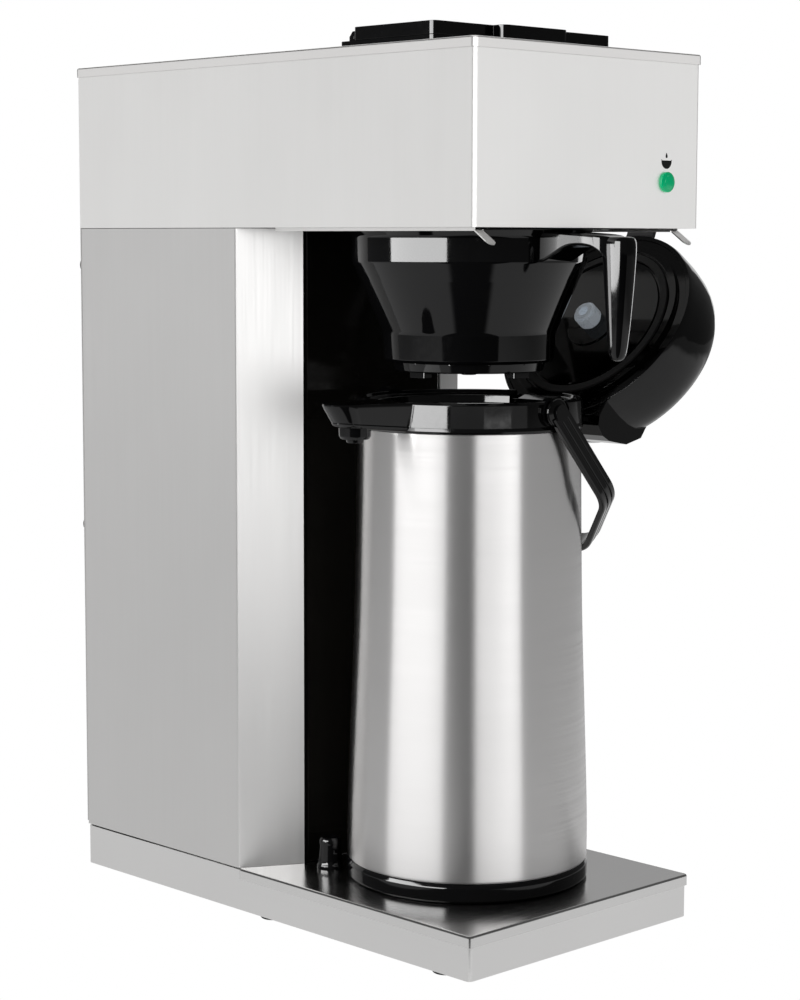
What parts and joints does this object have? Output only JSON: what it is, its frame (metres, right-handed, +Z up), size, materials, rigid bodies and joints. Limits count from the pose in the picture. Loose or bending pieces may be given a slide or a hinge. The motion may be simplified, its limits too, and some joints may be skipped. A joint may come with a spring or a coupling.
{
  "type": "airpot coffee brewer",
  "caption": "Pour-over commercial coffee brewer: stainless C-shaped cabinet, black slide-out brew funnel and an insulated pump airpot standing under it with its lid open.",
  "frame": {"origin": "on the floor, at the middle of the foot under the brewing axis, midway between the cabinet sides", "axes": "+Z up, +Y from the front of the brewer to its back, +X to the right of a person facing the front"},
  "size_m": [0.3283, 0.4615, 0.59],
  "materials": {
    "stainless": "fine brushed satin",
    "pot_steel": "vertically banded brushed satin",
    "inner_steel": "plain mill finish",
    "zinc": "bright zinc",
    "black_gloss": "high gloss",
    "black_matte": "fine textured",
    "rubber": "matte",
    "silicone": "translucent silicone",
    "seal_red": "silicone",
    "lens_green": "clear green",
    "white_plastic": "translucent white",
    "grey_plastic": "satin",
    "wire": "satin insulation",
    "ceramic": "ceramic"
  },
  "bodies": {
    "cabinet": {"base_skirt": "stainless", "base_top_plate": "stainless", "bottom_pan": "inner_steel", "feet": "rubber", "foot_bolts": "zinc", "locator_stops": "black_matte", "stop_screws": "zinc", "side_panel_left": "stainless", "side_panel_right": "stainless", "splash_panel": "black_gloss", "rear_panel": "stainless", "rear_panel_screws": "zinc", "rear_bumpers": "rubber", "head_shell": "stainless", "head_lid": "stainless", "head_bottom_pan": "inner_steel", "funnel_rail_left": "stainless", "funnel_rail_right": "stainless", "rail_screws": "zinc", "spray_plate": "stainless", "spray_fitting": "zinc", "spray_tube": "silicone", "fill_tube": "silicone", "water_basin": "black_matte", "cover_frame": "black_gloss", "cover_hinge_pin": "zinc", "pilot_lamp_lens": "lens_green", "pilot_lamp_body": "white_plastic", "tank": "inner_steel", "tank_gasket": "seal_red", "tank_lid": "inner_steel", "tank_shelf": "inner_steel", "heating_element": "zinc", "thermostat": "black_matte", "limit_thermostat": "black_matte", "terminal_block": "ceramic", "wiring": "wire", "rocker_frame": "black_matte", "strain_relief": "black_matte", "power_cord": "rubber"},
    "cover": {"cover_lid": "black_gloss"},
    "switch": {"rocker": "black_matte"},
    "funnel": {"brew_funnel": "black_gloss"},
    "airpot": {"airpot_body": "pot_steel", "airpot_liner": "inner_steel", "airpot_collar": "black_gloss", "airpot_spout": "black_gloss", "spout_nozzle": "black_matte", "lid_hinge_pin": "zinc", "bail_pins": "black_gloss"},
    "pot_base": {"airpot_base_ring": "black_gloss"},
    "pot_lid": {"lid_shell": "black_gloss", "lid_underside": "black_gloss", "lid_seal": "rubber", "lid_nozzle": "white_plastic", "pump_spring": "zinc", "lid_tab": "grey_plastic"},
    "pump": {"pump_button": "black_gloss"},
    "bail": {"bail_handle": "black_gloss"}
  },
  "joints": [
    {"name": "cover_hinge", "type": "hinge", "parent": "cabinet", "child": "cover", "pos_m": [0, 0.0304, 0.5844], "axis": [-1, 0, 0], "range_deg": [0, 95]},
    {"name": "rocker_tilt", "type": "hinge", "parent": "cabinet", "child": "switch", "pos_m": [-0.0583, 0.282, 0.3916], "axis": [0, 0, 1], "range_deg": [-16, 0]},
    {"name": "funnel_slide", "type": "slide", "parent": "cabinet", "child": "funnel", "axis": [0, -1, 0], "range_m": [0, 0.2]},
    {"name": "airpot_slide", "type": "slide", "parent": "cabinet", "child": "airpot", "axis": [0, -1, 0], "range_m": [0, 0.19]},
    {"name": "base_swivel", "type": "hinge", "parent": "airpot", "child": "pot_base", "pos_m": [0.001, 0.0005, 0.032], "axis": [0, 0, 1], "continuous": true},
    {"name": "pot_lid_hinge", "type": "hinge", "parent": "airpot", "child": "pot_lid", "pos_m": [0.074, 0.0005, 0.346], "axis": [0, 1, 0], "range_deg": [-20, 0]},
    {"name": "pump_press", "type": "slide", "parent": "pot_lid", "child": "pump", "axis": [-0.7986, 0, 0.6018], "range_m": [0, 0.017]},
    {"name": "bail_swing", "type": "hinge", "parent": "airpot", "child": "bail", "pos_m": [0.001, 0.0005, 0.347], "axis": [0, 1, 0], "range_deg": [-25, 0]}
  ]
}
